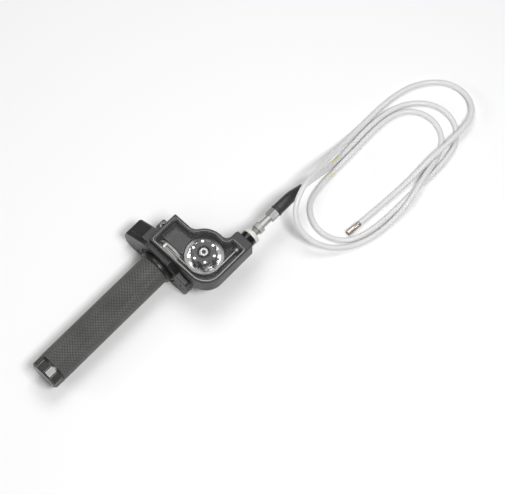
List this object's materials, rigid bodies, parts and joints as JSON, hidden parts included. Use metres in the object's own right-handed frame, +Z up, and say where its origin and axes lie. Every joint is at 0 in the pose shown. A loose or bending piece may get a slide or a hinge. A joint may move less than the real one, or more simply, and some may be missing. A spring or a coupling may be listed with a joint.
{
  "type": "motorcycle throttle grip",
  "caption": "Quick-turn motorcycle throttle grip: knurled twist grip, cable drum, windowed housing with a guide pulley, adjuster and looped control cable.",
  "frame": {"origin": "on the handlebar's axis, at the clamp's face where the handlebar comes out of the housing", "axes": "+X along the handlebar away from the grip, +Y to the rider, +Z up through the window"},
  "size_m": [0.4748, 0.1683, 0.048],
  "materials": {
    "housing_paint": "satin dark grey die casting",
    "grip_polymer": "fine knurl, dark grey",
    "tube_polymer": "moulded grey",
    "clear_window": "clear",
    "bright_steel": "zinc plated",
    "black_steel": "black oxide",
    "pulley_metal": "turned",
    "plate_black": "dark anodised",
    "gloss_black": "glossy",
    "white_ring": "off-white",
    "boot_rubber": "matte",
    "cable_braid": "white and silver braid",
    "nickel": "warm nickel plate"
  },
  "bodies": {
    "housing": {"housing_body": "housing_paint", "front_plate": "housing_paint", "plate_screws": "black_steel", "window_lens": "clear_window", "pinch_screw": "black_steel", "pinch_nut": "black_steel", "bearing_inner_ring": "bright_steel", "bearing_balls": "bright_steel", "lower_spacer": "bright_steel", "upper_spacer": "bright_steel", "axle_screw": "bright_steel", "wire_guide": "bright_steel", "arm_bush": "gloss_black", "bush_ring": "white_ring", "adjuster_stem": "bright_steel", "cable_boot": "boot_rubber", "cable_casing": "cable_braid", "cable_end_ferrule": "nickel", "throttle_wire": "bright_steel"},
    "throttle": {"throttle_tube": "tube_polymer", "grip_sleeve": "grip_polymer", "grip_end_cap": "grip_polymer", "cable_nipple": "bright_steel", "wire_wrap": "bright_steel"},
    "pulley": {"pulley_wheel": "pulley_metal", "pulley_hub": "pulley_metal", "pulley_top_plate": "plate_black", "pulley_rivets": "bright_steel", "bearing_outer_ring": "bright_steel", "retaining_clip": "black_steel"},
    "barrel": {"adjuster_barrel": "bright_steel"},
    "nut": {"lock_nut": "bright_steel"}
  },
  "joints": [
    {"name": "throttle_twist", "type": "hinge", "parent": "housing", "child": "throttle", "pos_m": [-0.1, 0, 0], "axis": [-1, 0, 0], "range_deg": [0, 80], "deforming": ["wire_wrap"]},
    {"name": "pulley_spin", "type": "hinge", "parent": "housing", "child": "pulley", "pos_m": [-0.0051, -0.0282, 0.014], "axis": [0, 0, -1], "range_deg": [0, 67]},
    {"name": "barrel_turn", "type": "hinge", "parent": "housing", "child": "barrel", "pos_m": [0.066, -0.045, 0.014], "axis": [1, 0, 0], "range_deg": [-180, 180]},
    {"name": "lock_nut_turn", "type": "hinge", "parent": "barrel", "child": "nut", "pos_m": [0.0482, -0.045, 0.014], "axis": [1, 0, 0], "range_deg": [-180, 180]}
  ],
  "couplings": [
    {"joint": "pulley_spin", "follows": "throttle_twist", "ratio": 0.83333}
  ]
}
